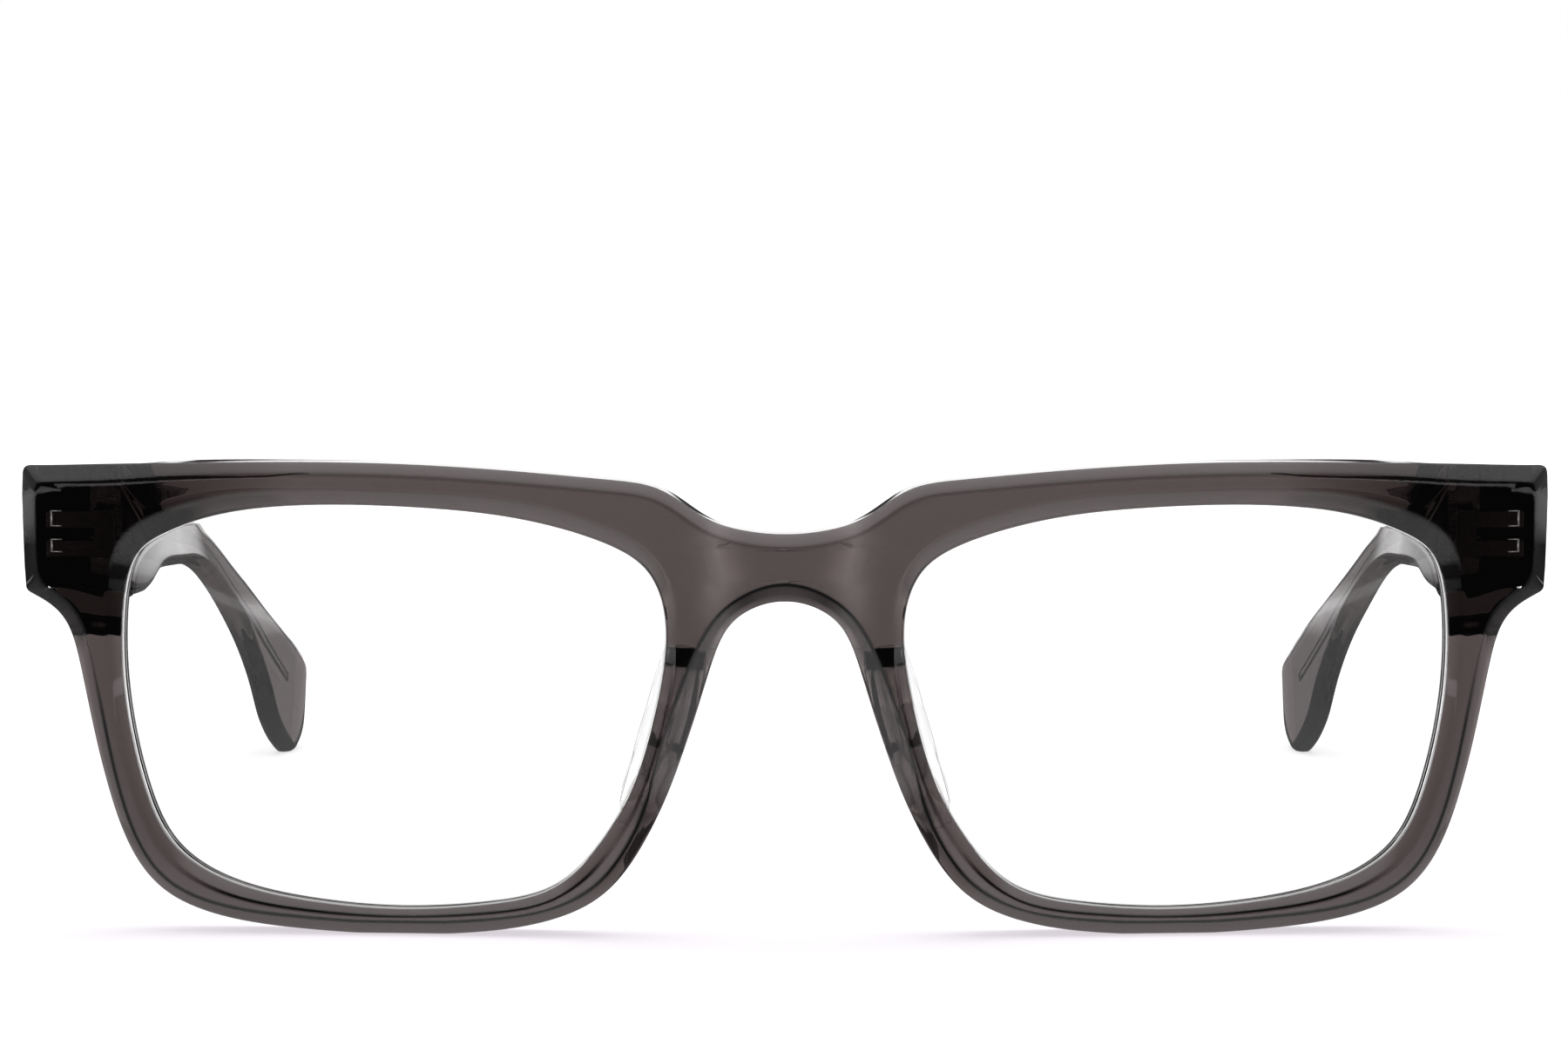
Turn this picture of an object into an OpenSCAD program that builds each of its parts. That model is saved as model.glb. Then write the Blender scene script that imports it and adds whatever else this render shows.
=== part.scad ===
// Rectangular eyeglasses with a milled and bent plastic front, sunk hinges and wire-cored temples.
// They stand open on the lower rims and the temple tips.
// X runs to the wearer's left, Y from the front to the rear and Z up.

/* [Lenses] */
// Width of the box round one lens
lens_w = 52.8; // [50:0.2:55]
// Height of the box round one lens
lens_h = 39.3; // [37:0.1:42]
// Distance between the two lens boxes
bridge_w = 21.4; // [20:0.2:24]
// Thickness of a lens
lens_t = 2; // [1.6:0.1:2.4]
// How far a lens bulges forward of its edge
lens_crown = 1.2; // [0.6:0.1:1.6]

/* [Front] */
// Width of the front between its outer edges
front_w = 144.8; // [143:0.2:149]
// Height of the rim above the lens box at its highest point
rim_top = 3.5; // [3.2:0.1:5]
// Height of the rim below the lens box
rim_bottom = 1.9; // [1.8:0.1:3]
// Thickness of the rims and the bridge
rim_t = 4.5; // [4.2:0.1:5.2]
// Thickness of the end pieces
block_t = 8; // [7.4:0.1:8.6]
// Width of the thick part of an end piece
end_w = 8.8; // [8.4:0.1:9.4]
// Radius of the bend across the front, measured at its front face
wrap_r = 520; // [420:10:700]
// Depth of the lens groove
groove_d = 0.55; // [0.4:0.05:0.7]

/* [Nose pads] */
// How far a nose pad stands off the back of the rim
pad_d = 6; // [4.5:0.5:7]

/* [Temples] */
// Length of a temple along its line
temple_l = 134.7; // [130:0.5:138]
// Length of the bend over the ear
bend_l = 21; // [19:1:23]
// Length of the ear piece after the bend
temple_ear = 36.7; // [34:0.5:39]
// Thickness of a temple at the hinge
temple_t = 5; // [4.6:0.1:5.4]
// Thickness of the ear piece
ear_t = 2.6; // [2.5:0.1:3.2]
// Downward slope of the straight part, in degrees
temple_slope = 6.5; // [5.5:0.5:7.5]
// Downward slope of the ear piece, in degrees
ear_slope = 31; // [29:0.5:33]
// Inward turn of the ear piece, in degrees
ear_turn = 10; // [6:1:12]
// Diameter of the core wire
wire_d = 1.3; // [1.1:0.1:1.4]

/* [Hinges] */
// Outer diameter of the hinge loops
loop_d = 3; // [2.8:0.1:3.2]
// Diameter of the hinge screw
screw_d = 1.4; // [1.2:0.1:1.6]
// Height of each of the two loops on the front
loop_h = 1.6; // [1.5:0.05:1.8]
// Height of the single loop on the temple
tongue_h = 1.15; // [1:0.05:1.3]
// How far the middle of the hinge lies below the middle of the temple's butt
hinge_drop = 0.45; // [0.2:0.05:0.7]
// How far the anchors reach into the end piece, in front of the hinge axis
anchor_in = 4.9; // [4.6:0.1:5]
// Length of an anchor along the end piece
anchor_l = 6.4; // [5.6:0.1:6.6]
// Outward set of the open left temple, in degrees
left_set = 1; // [0:0.5:1]

/* [Fits] */
// Gap between a lens and its groove, and round the metal sunk in the plastic
seat_gap = 0.04; // [0.02:0.01:0.08]
// Radial gap between the screw and the turning loop
screw_gap = 0.03; // [0.02:0.01:0.06]
// Gap between neighbouring hinge loops
loop_gap = 0.06; // [0.03:0.01:0.1]
// Gap between an open temple and its end piece
butt_gap = 0.2; // [0.15:0.05:0.35]

/* [Hidden] */
$fn = 48;

SMOKE = [0.42, 0.37, 0.38];
CLEAR = [0.9, 0.93, 0.94];
STEEL = [0.72, 0.72, 0.74];

// Place of the front's widest line behind its front face.
widest_w = 0.9;
// Half of the front's width, measured along the bend.
half_u = wrap_r * PI / 180 * asin(front_w / 2 / (wrap_r - widest_w));

// The outlines are drawn for one size, and these two stretch them to the sizes above.
function across(x) =
    lookup(x, [[0, 0], [10.7, bridge_w / 2], [63.5, bridge_w / 2 + lens_w], [72.6, half_u]]);
function up(z) =
    lookup(z, [[0, 0], [1.9, rim_bottom], [41.2, rim_bottom + lens_h], [44.7, rim_bottom + lens_h + rim_top]]);
function placed(p) = [across(p.x), up(p.y), p.z];

// Edge of the lens opening, clockwise from its upper nose corner:
// distance from the middle, height, and width of the bevel in front of it.
OPENING = [for (p = [
    [12.2, 33.4, 1.3], [16, 36.8, 1.45], [24.6, 39.4, 1.6], [34.4, 40.5, 1.4], [44, 40.7, 1.5],
    [52.7, 39.9, 1.75], [58.8, 37.9, 1.95], [62, 35, 1.9], [63, 28.8, 1.3], [62.6, 21.3, 1.1],
    [60.9, 13.6, 0.95], [57.9, 7.9, 1.05], [52, 4.5, 1], [44, 2.9, 0.7], [36, 2.4, 0.6],
    [28.2, 2.9, 0.7], [21.6, 4.7, 0.95], [17, 9.4, 1.05], [14.2, 14.6, 1.05], [12.3, 21, 1.05],
    [11.2, 28.1, 1.15]
]) placed(p)];

// Outer edge from the middle of the bridge along the brow to the upper outer corner,
// with the width of the bevel inside it. The first point only sets the curve's run over the middle.
BROW = [for (p = [
    [-5, 38.7, 1.1], [0, 38.1, 1.15], [5, 38.7, 1.1], [8.4, 40.2, 1], [12, 42.4, 1], [17.5, 43.3, 1],
    [27, 44.1, 1], [40, 44.7, 1], [55, 44.6, 1.05], [63.6, 44.1, 1.1], [72.6, 43.8, 1.1]
]) placed(p)];

// Outer edge from the lower outer corner round the rim to the middle of the bridge.
// The last point only sets the curve's run over the middle.
RIM = [for (p = [
    [72.3, 32.3, 1.3], [69.9, 31, 1.3], [68.1, 28.8, 1.4], [67, 24.8, 1.45], [65.9, 19.3, 1.4],
    [64.6, 13.9, 1.25], [62.6, 8.2, 1.2], [59, 3.7, 1.2], [53, 1.3, 1.2], [45.5, 0.3, 1.3],
    [37, -0.1, 1.3], [29, 0.2, 1.3], [22.5, 1.3, 1.2], [16.6, 4.4, 1.2], [12.4, 10.6, 1.35],
    [10, 16.3, 2.15], [8, 22.3, 2.15], [6.5, 27, 1.7], [4.3, 30.3, 1.45], [0, 31.7, 1.7],
    [-4.3, 30.3, 1.45]
]) placed(p)];

// Smooth curve through a list of points. Its handles are found by repeated averaging.
function pick(p, i, closed) =
    let (m = len(p))
    closed ? p[(i + m) % m] : i < 0 ? 2 * p[0] - p[1] : i >= m ? 2 * p[m - 1] - p[m - 2] : p[i];
function handles(p, closed, c, rounds = 8) =
    rounds == 0 ? c :
    handles(p, closed, [for (i = [0:len(p) - 1])
        (6 * p[i] - pick(c, i - 1, closed) - pick(c, i + 1, closed)) / 4], rounds - 1);
function along(c, t, closed = false) =
    let (i = floor(t), f = t - i, g = 1 - f)
    (g^3 * pick(c, i - 1, closed) + (3 * f^3 - 6 * f^2 + 4) * pick(c, i, closed)
     + (3 * g^3 - 6 * g^2 + 4) * pick(c, i + 1, closed) + f^3 * pick(c, i + 2, closed)) / 6;

function flat(p) = [p.x, p.y];
function unit(v) = v / norm(v);
function mix(a, b, f) = a + (b - a) * f;
// Run of a curve at t, and the direction to the left of that run.
function run(c, t, closed = false) = unit(flat(along(c, t + 0.02, closed) - along(c, t - 0.02, closed)));
function left_of(v) = [-v.y, v.x];

opening_c = handles(OPENING, true, OPENING);
brow_c = handles(BROW, false, BROW);
rim_c = handles(RIM, false, RIM);

// Steps to each span of an outline.
steps = 5;
// Depth of a bevel cut into the outer edge and into the lens opening, from its width.
function outer_cut(b) = 0.45 + 0.4 * b;
function inner_cut(b) = 0.35 + 0.3 * b;

// Corners of the end piece, on the outer edge and on the edge of the front face.
corner_up = flat(BROW[len(BROW) - 1]);
corner_low = flat(RIM[0]);
face_up = corner_up + [-1.6, -1.1];
face_low = corner_low + [-1.6, 0.8];
// Reach of the rounding at these corners: outer edge and face edge, above and below.
up_r = 0.8;
face_up_r = 1.3;
low_r = 0.6;
face_low_r = 1.4;
foot_r = 0.9;
function rounded(a, corner, b, f) = mix(mix(a, corner, f), mix(corner, b, f), f);
function toward(a, b, d) = a + d * unit(b - a);

// Point of the brow and of the rim: outer edge and edge of the front face.
// Near a corner the face edge slides back along the run, so that it ends in its own corner.
function brow_point(t) =
    let (p = along(brow_c, t + 1), r = run(brow_c, t + 1), slide = 1.6 * (p.x / corner_up.x)^8)
    [flat(p), flat(p) - p.z * left_of(r) - slide * r];
function rim_point(t) =
    let (p = along(rim_c, t), r = run(rim_c, max(t, 0.02)), slide = t < 2 ? 0.95 * (1 - t / 2)^2 : 0)
    [[p.x, max(p.y, 0)], [p.x, max(p.y, 0)] - p.z * left_of(r) + slide * r];

// Thickness of the front along its brow and down its end piece.
block_u = half_u - end_w;
// Height over which the rim swells to the end piece, and the point of RIM after which it is plain.
swell = [28.2, 29.2];
plain_from = 6;
function brow_t(x) = lookup(x, [[block_u - 16, rim_t], [block_u - 2, rim_t + 1.8], [block_u, block_t]]);
function rim_thickness(t, z) =
    t > plain_from ? rim_t : lookup(z, [[up(swell[0]), rim_t], [up(swell[1]), block_t]]);

// Where each place on the outer edge is joined to the lens opening, counted in points of both.
MATCH = [[0, 0.4], [3, 0.85], [4, 1.3], [6, 3.5], [7, 5.1], [8, 6.3], [9, 6.8], [10, 6.9], [11, 7.45],
         [12, 7.55], [13, 7.75], [14, 8.05], [15, 8.5], [16, 9.2], [17, 9.95], [18, 10.8], [19, 11.7],
         [20, 12.5], [22, 14], [24, 16], [26, 17.5], [28, 19.2], [30, 20.6], [31, 21.4]];

brow_n = len(BROW) - 2;
rim_n = len(RIM) - 2;
// Stations round half of the front: outer edge, face edge, place in MATCH, thickness, on the middle or not.
function station(p, q, t, mid = false) = [mid ? [0, p[0].y] : p[0], mid ? [0, p[1].y] : p[1], q, t, mid];
STATIONS = concat(
    [for (i = [0:brow_n * steps - 1])
        let (t = i / steps, p = brow_point(t)) station(p, t, brow_t(p[0].x), i == 0)],
    [for (k = [0:4])
        let (a = brow_point(brow_n - 0.2), f = k / 4)
        station([rounded(toward(corner_up, a[0], up_r), corner_up, toward(corner_up, corner_low, up_r), f),
                 rounded(toward(face_up, a[1], face_up_r), face_up, toward(face_up, face_low, face_up_r), f)],
                brow_n + 0.1 + 0.8 * f, block_t)],
    [for (f = [0.33, 0.67])
        station([mix(corner_up, corner_low, f), mix(face_up, face_low, f)], brow_n + 1 + f, block_t)],
    [for (k = [0:4])
        let (a = rim_point(0.3), f = k / 4)
        station([rounded(toward(corner_low, corner_up, low_r), corner_low, toward(corner_low, a[0], low_r), f),
                 rounded(toward(face_low, face_up, face_low_r), face_low, toward(face_low, a[1], foot_r), f)],
                brow_n + 2.1 + 0.5 * f, block_t)],
    [for (i = [2:rim_n * steps])
        let (t = i / steps, p = rim_point(t))
        station(p, brow_n + 3 + t, rim_thickness(t, p[0].y), i == rim_n * steps)],
    [for (k = [1:5])
        let (f = k / 6, a = rim_point(rim_n), b = brow_point(0))
        station([mix(a[0], b[0], f), mix(a[1], b[1], f)], brow_n + 3 + rim_n + f, rim_t, true)]);

// Bends a point of the flat drawing round the wearer's face: across, up, and back from the front face.
function bent(u, z, w) =
    let (a = u / wrap_r * 180 / PI) [(wrap_r - w) * sin(a), wrap_r - (wrap_r - w) * cos(a), z];

// Place of the groove behind the front face, and half of its mouth.
groove_w = 2.4;
groove_half = 0.7;
// Small bevels on the back.
back_cut = 0.35;

// Section of the front at a station, clockwise from the face edge at the lens: [across, up, back].
function section(k) =
    let (s = STATIONS[k], t = lookup(s[2], MATCH), o = along(opening_c, t, true),
         n = left_of(run(opening_c, t, true)), e = flat(o), c = inner_cut(o.z),
         m = s[4] ? [0, sign(s[0].y - 35)] : unit(s[0] - s[1]), back = s[0] - back_cut * m,
         foot = e + 0.3 * n, shelf_x = foot.x < block_u ? block_u : foot.x + 0.3,
         f = s[0].x > block_u + 0.5 ? (shelf_x - foot.x) / (back.x - foot.x) : 0.4)
    [[e + o.z * n, 0], [e, c], [e, groove_w - groove_half], [e + groove_d * n, groove_w],
     [e, groove_w + groove_half], [e, rim_t - 0.3], [foot, rim_t], [mix(foot, back, f), s[3]],
     [back, s[3]], [s[0], s[3] - back_cut], [s[0], outer_cut(norm(s[0] - s[1]))], [s[1], 0]];

// The front as one closed skin: both halves share the points on the middle.
front_n = len(STATIONS);
front_m = 12;
// First point of a section that can lie on the middle.
outer_j = 8;
SECTIONS = [for (k = [0:front_n - 1]) section(k)];
function front_point(side, k, j) = let (p = SECTIONS[k][j]) bent(side * p[0].x, p[0].y, p[1]);
// Number of a point; the points on the middle are those of the first half.
function front_id(half, k, j) =
    (half == 1 && !(STATIONS[k][4] && j % front_m >= outer_j) ? front_n * front_m : 0)
    + (k % front_n) * front_m + j % front_m;
front_skin = [for (half = [0, 1]) for (k = [0:front_n - 1]) for (j = [0:front_m - 1])
    if (!(STATIONS[k][4] && STATIONS[(k + 1) % front_n][4] && j >= outer_j && j < front_m - 1))
        let (a = front_id(half, k, j), b = front_id(half, (k + 1) % front_n, j),
             c = front_id(half, (k + 1) % front_n, j + 1), d = front_id(half, k, j + 1))
        each half == 0 ? [[a, b, c], [a, c, d]] : [[a, c, b], [a, d, c]]];

module front() {
    color(SMOKE) centred() difference() {
        polyhedron([for (side = [1, -1]) for (k = [0:front_n - 1]) for (j = [0:front_m - 1])
            front_point(side, k, j)], front_skin, convexity = 10);
        for (side = [1, -1])
            on_axis(side) {
                anchor(seat_gap);
                front_web(-hinge_h / 2, seat_gap);
                front_web(tongue_h / 2, seat_gap);
            }
    }
}

// Height of the back of the end piece over the front's foremost line, at a distance from the middle.
function back_y(x) = wrap_r - sqrt((wrap_r - block_t)^2 - x^2);

// Lens: rings from the middle to its edge on the front, then round the edge and back to the middle.
lens_n = 84;
lens_mid = [bridge_w / 2 + lens_w / 2, rim_bottom + lens_h / 2];
lens_steps = [0.2, 0.4, 0.6, 0.8, 0.93];
function bulge(f) = groove_w - lens_t / 2 - lens_crown * (1 - f^2);
LENS_RINGS = concat(
    [for (f = lens_steps) [f, 0, bulge(f)]],
    [[1, -seat_gap, bulge(1)], [1, -seat_gap, groove_w - groove_half + 0.1], [1, groove_d - seat_gap, groove_w],
     [1, -seat_gap, groove_w + groove_half - 0.1], [1, -seat_gap, bulge(1) + lens_t]],
    [for (k = [len(lens_steps) - 1:-1:0]) [lens_steps[k], 0, bulge(lens_steps[k]) + lens_t]]);
function lens_point(side, r, i) =
    let (t = i * len(OPENING) / lens_n, o = flat(along(opening_c, t, true)),
         n = left_of(run(opening_c, t, true)), p = lens_mid + r[0] * (o + r[1] * n - lens_mid))
    bent(side * p.x, p.y, r[2]);

// Skin over rings of points, with a point or the flat of the first and last ring as its ends.
function tube_skin(rings, n) =
    [for (k = [0:rings - 2]) for (i = [0:n - 1])
        let (a = k * n + i, b = k * n + (i + 1) % n) each [[a, a + n, b], [b, a + n, b + n]]];
function fan_skin(first, n, tip, flip) =
    [for (i = [0:n - 1]) flip ? [first + i, tip, first + (i + 1) % n] : [first + i, first + (i + 1) % n, tip]];
function turned(skin, yes) = yes ? [for (f = skin) [f[0], f[2], f[1]]] : skin;

module lens(side) {
    m = len(LENS_RINGS);
    points = concat([for (r = LENS_RINGS) for (i = [0:lens_n - 1]) lens_point(side, r, i)],
                    [bent(side * lens_mid.x, lens_mid.y, bulge(0)),
                     bent(side * lens_mid.x, lens_mid.y, bulge(0) + lens_t)]);
    skin = concat(tube_skin(m, lens_n), fan_skin(0, lens_n, m * lens_n, false),
                  fan_skin((m - 1) * lens_n, lens_n, m * lens_n + 1, true));
    color(CLEAR) centred() polyhedron(points, turned(skin, side < 0), convexity = 4);
}
module lens_right() lens(-1);
module lens_left() lens(1);

// Nose pad: sections up its height. Its foot follows the back of the rim, and it leans away from the nose.
pad_low = rim_bottom + 8;
pad_high = rim_bottom + 25.2;
PAD_MIDDLE = [[9, 15], [11.5, 13.8], [16, 12], [21, 10.5], [25, 9.7], [28, 9.4]];
PAD_SIZE = [[0, 0.3], [0.04, 0.52], [0.1, 0.72], [0.2, 0.88], [0.32, 0.96], [0.5, 1], [0.7, 0.97],
            [0.84, 0.89], [0.93, 0.79], [1, 0.62]];
// Half of a level section from the rim round the free end and back: across and back.
// The first and the last point are on the rim.
PAD_SECTION = [[1.5, 0, 0], [2.2, 0.28, 0], [2.9, 0.6, 0], [3.05, 0.86, 0], [2.5, 0.99, 0], [1.6, 0.95, 0],
               [0.5, 0.76, 0], [-0.5, 0.45, 0], [-1.3, 0.15, 0], [-1.5, 0, 0]];
pad_c = handles(PAD_SECTION, false, PAD_SECTION);
pad_n = 2 * len(PAD_SECTION) - 1;
function pad_lean(x, size) = x > 0 ? size : 0.5 + size / 2;
module nose_pad(side) {
    m = len(PAD_SIZE);
    points = concat(
        [for (l = PAD_SIZE) for (i = [0:pad_n - 1])
            let (z = mix(pad_low, pad_high, l[0]), q = along(pad_c, i / 2))
            bent(side * (across(lookup(z, PAD_MIDDLE)) + q.x * pad_lean(q.x, l[1])), z,
                 rim_t + seat_gap + pad_d * max(0, q.y) * l[1])],
        [for (l = [PAD_SIZE[0], PAD_SIZE[m - 1]])
            let (z = mix(pad_low, pad_high, l[0]), x = across(lookup(z, PAD_MIDDLE)) + 0.4 * l[1])
            bent(side * x, z, rim_t + seat_gap + 0.3 * pad_d * l[1])]);
    skin = concat(tube_skin(m, pad_n), fan_skin(0, pad_n, m * pad_n, false),
                  fan_skin((m - 1) * pad_n, pad_n, m * pad_n + 1, true));
    color(CLEAR) centred() polyhedron(points, turned(skin, side < 0), convexity = 4);
}
module nose_pad_right() nose_pad(-1);
module nose_pad_left() nose_pad(1);

// Temple: its line is that of the core wire. It starts at the butt and is followed in small steps.
line_in = 1.9;
// Steps from the side, and from the top and bottom, of the end piece to those of the temple.
side_step = 0.45;
temple_inset = 0.1;
temple_x = (wrap_r - block_t) * sin(half_u / wrap_r * 180 / PI) - side_step - temple_t + line_in;
temple_z = (corner_up.y + corner_low.y) / 2 - temple_inset;
temple_straight = temple_l - bend_l - temple_ear;
step_l = 2;
function ease(f) = let (g = min(1, max(0, f))) g * g * (3 - 2 * g);
function fall(s) = temple_slope + (ear_slope - temple_slope) * ease((s - temple_straight) / bend_l);
function turn_in(s) = ear_turn * ease((s - temple_straight + 10) / (bend_l + 6));
// Directions at a place on the line: along it, to the outside, and up across it.
function ahead(s) = [-sin(turn_in(s)), cos(turn_in(s)) * cos(fall(s)), -cos(turn_in(s)) * sin(fall(s))];
function outward(s) = [cos(turn_in(s)), sin(turn_in(s)) * cos(fall(s)), -sin(turn_in(s)) * sin(fall(s))];
function upward(s) = [0, sin(fall(s)), cos(fall(s))];
LINE = [for (s = 0, p = [temple_x, back_y(temple_x) + butt_gap, temple_z]; s <= temple_l + 0.01;
         p = p + step_l * ahead(s + step_l / 2), s = s + step_l) p];
function line_at(s) =
    let (k = min(len(LINE) - 2, floor(s / step_l))) LINE[k] + (s - k * step_l) * ahead(s);

// Height above and below the line, over the distance from the straight part's end, drawn for one length
// of the straight part and of what follows it. This stretches them to the sizes above.
function behind(s) = lookup(s, [[-77, -temple_straight], [0, 0], [57.7, temple_l - temple_straight]]);
half_h = (corner_up.y - corner_low.y) / 2 - temple_inset;
function curve_of(p) =
    let (c = handles(p, false, p))
    [for (i = [0:4 * (len(p) - 1)]) let (q = along(c, i / 4)) [behind(q.x), q.y]];
ABOVE = curve_of([[-77, half_h, 0], [-64, 5.4, 0], [-48, 4.4, 0], [-30, 3.6, 0], [-12, 3, 0],
                  [4, 2.5, 0], [16, 2.6, 0], [27, 3.6, 0], [37, 4.5, 0], [47, 5.1, 0]]);
BELOW = curve_of([[-77, half_h, 0], [-62, 5.9, 0], [-48, 6.4, 0], [-39, 6.6, 0], [-31, 6, 0],
                  [-24, 4.5, 0], [-15, 3.5, 0], [0, 3, 0], [15, 2.3, 0], [27, 2.3, 0], [34, 3.1, 0],
                  [40, 5, 0], [44, 7.3, 0], [47, 8.2, 0]]);
function above(s) = lookup(s - temple_straight, ABOVE);
function below(s) = lookup(s - temple_straight, BELOW);
// The inner face is flat as far as the bend, and the outer face tapers.
paddle_l = 22;
ear_in = ear_t / 2 + 0.1;
function inner_t(s) = lookup(s, [[0, line_in], [temple_straight, line_in], [temple_l - paddle_l, ear_in]]);
function outer_t(s) =
    lookup(s, [[0, temple_t - line_in], [temple_straight, ear_t / 2], [temple_l - paddle_l, ear_t - ear_in]]);
edge_cut = 0.9;
// Last sections, round the paddle's end: place, height above and below the line, and shrink of each side.
TIP = [[47, 5.1, 8.2, 0], [49, 5.3, 8.4, 0], [51, 5.4, 8.3, 0], [52.6, 5.5, 7.9, 0], [54.2, 5.6, 6.8, 0.05],
       [55.3, 5.7, 5.5, 0.1], [56.2, 5.7, 4, 0.2], [56.9, 5.6, 2.3, 0.3], [57.4, 5.3, 0.6, 0.45],
       [57.7, 4.9, -0.8, 0.6]];
function temple_ring(s, a, b, shrink = 0) =
    let (g = inner_t(s) - shrink, h = outer_t(s) - shrink, c = edge_cut)
    [for (q = [[h - c, a], [h, a - c], [h, c - b], [h - c, -b],
               [c - g, -b], [-g, c - b], [-g, a - c], [c - g, a]])
        let (p = line_at(s) + q.x * outward(s) + q.y * upward(s))
        [p.x, s == 0 ? back_y(p.x) + butt_gap : p.y, max(p.z, 0)]];
tip_s = temple_straight + behind(TIP[0][0]);
TEMPLE_PLACES = concat([0, 3], [for (s = [8:5:temple_straight - 14]) s],
                       [for (s = [temple_straight - 11:2.5:tip_s - 1]) s]);

rings = concat([for (s = TEMPLE_PLACES) temple_ring(s, above(s), below(s))],
               [for (q = TIP) temple_ring(temple_straight + behind(q[0]), q[1], q[2], q[3])]);
module temple_body() {
    m = len(rings);
    ends = [[for (v = [[1, 0, 0], [0, 1, 0], [0, 0, 1]]) rings[0] * v * [1, 1, 1, 1, 1, 1, 1, 1] / 8],
            line_at(temple_l) + (TIP[len(TIP) - 1][1] - TIP[len(TIP) - 1][2]) / 2 * upward(temple_l)];
    points = concat([for (r = rings) each r], ends);
    polyhedron(points, concat(tube_skin(m, 8), fan_skin(0, 8, m * 8, false),
                              fan_skin((m - 1) * 8, 8, m * 8 + 1, true)), convexity = 6);
}

// Core wire, inside the temple from behind the hinge to near the tip.
wire_start = 13;
wire_end = temple_l - 9;
wire_sides = 10;
module wire_body(grow = 0) {
    places = [for (k = [0:40]) mix(wire_start, wire_end, k / 40)];
    points = concat([for (s = places) for (i = [0:wire_sides - 1])
                        let (g = 360 * i / wire_sides)
                        line_at(s) + (wire_d / 2 + grow) * (cos(g) * outward(s) + sin(g) * upward(s))],
                    [line_at(wire_start) - grow * ahead(wire_start), line_at(wire_end) + grow * ahead(wire_end)]);
    m = len(places);
    last = (m - 1) * wire_sides;
    polyhedron(points, concat(turned(tube_skin(m, wire_sides), true),
                              fan_skin(0, wire_sides, last + wire_sides, true),
                              fan_skin(last, wire_sides, last + wire_sides + 1, false)), convexity = 6);
}

// Hinge axis, beside the inner face of the temple and behind the end piece.
inner_x = temple_x - inner_t(0);
axis_off = loop_d / 2 + 0.15;
axis_x = inner_x - axis_off;
axis_y = back_y(axis_x) + axis_off + 0.02;
bore_d = screw_d + 2 * screw_gap;
hinge_h = tongue_h + 2 * loop_h;
hinge_z = temple_z - hinge_drop;
// The front's half of the hinge: two loops on webs, joined inside the end piece by a spine with two anchors.
anchor_y = axis_y - anchor_in;
anchor_d = 2.2;
web_x = 1.9;
web_in = 0.75;
module on_axis(side) translate([side * axis_x, axis_y, hinge_z]) scale([side, 1, 1]) children();
// Block with one corner given, grown by a gap on every side.
module block(corner, size, grow = 0)
    translate(corner - grow * [1, 1, 1]) cube(size + 2 * grow * [1, 1, 1]);
module front_web(z, grow = 0)
    block([-web_in, anchor_y - axis_y, z], [web_x, axis_y - anchor_y, loop_h], grow);
module front_loop(z) {
    difference() {
        union() {
            translate([0, 0, z]) cylinder(d = loop_d, h = loop_h);
            front_web(z);
        }
        translate([0, 0, z - 1]) cylinder(d = bore_d, h = loop_h + 2);
    }
}
module anchor(grow = 0) {
    for (z = [-hinge_h / 2, tongue_h / 2])
        block([-web_in, anchor_y - axis_y, z], [anchor_l, anchor_d, loop_h], grow);
    block([-web_in, anchor_y - axis_y, -hinge_h / 2], [web_x, anchor_d, hinge_h], grow);
}
module front_hinge(side) {
    color(STEEL) centred() on_axis(side) {
        front_loop(-hinge_h / 2);
        front_loop(tongue_h / 2);
        anchor();
    }
}
module front_hinge_right() front_hinge(-1);
module front_hinge_left() front_hinge(1);

// The temple's half of the hinge: one loop between the two, on a plate sunk in the temple's inner face.
plate_t = 1.1;
plate_l = 9;
turn_h = tongue_h - 2 * loop_gap;
module plate(grow = 0)
    block([axis_off, 0, -hinge_h / 2], [plate_t, plate_l, hinge_h], grow);
module temple_hinge(side) {
    color(STEEL) centred() on_axis(side) rotate([0, 0, set_of(side)]) difference() {
        union() {
            translate([0, 0, -turn_h / 2]) cylinder(d = loop_d, h = turn_h);
            translate([0, 0, -turn_h / 2]) cube([axis_off + plate_t / 2, loop_d / 2, turn_h]);
            plate();
        }
        translate([0, 0, -hinge_h]) cylinder(d = bore_d, h = 2 * hinge_h);
    }
}
module temple_hinge_right() temple_hinge(-1);
module temple_hinge_left() temple_hinge(1);
function set_of(side) = side > 0 ? -left_set : 0;

// The whole object is centred from front to rear: this is its depth to the tip that reaches furthest back.
depth = max([for (r = rings) for (p = r) for (a = [0, left_set])
    axis_y + (p.y - axis_y) * cos(a) - (p.x - axis_x) * sin(a)]);
module centred() translate([0, -depth / 2, 0]) children();

// Screw: a slotted head on the upper loop and a shank through all three.
head_d = 2.3;
head_h = 0.5;
slot_w = 0.35;
module hinge_screw(side) {
    color(STEEL) centred() on_axis(side) {
        translate([0, 0, 0.1 - hinge_h / 2]) cylinder(d = screw_d, h = hinge_h - 0.1);
        difference() {
            translate([0, 0, hinge_h / 2]) cylinder(d = head_d, h = head_h);
            translate([-head_d, -slot_w / 2, hinge_h / 2 + head_h / 2]) cube([2 * head_d, slot_w, head_h]);
        }
    }
}
module hinge_screw_right() hinge_screw(-1);
module hinge_screw_left() hinge_screw(1);

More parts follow.
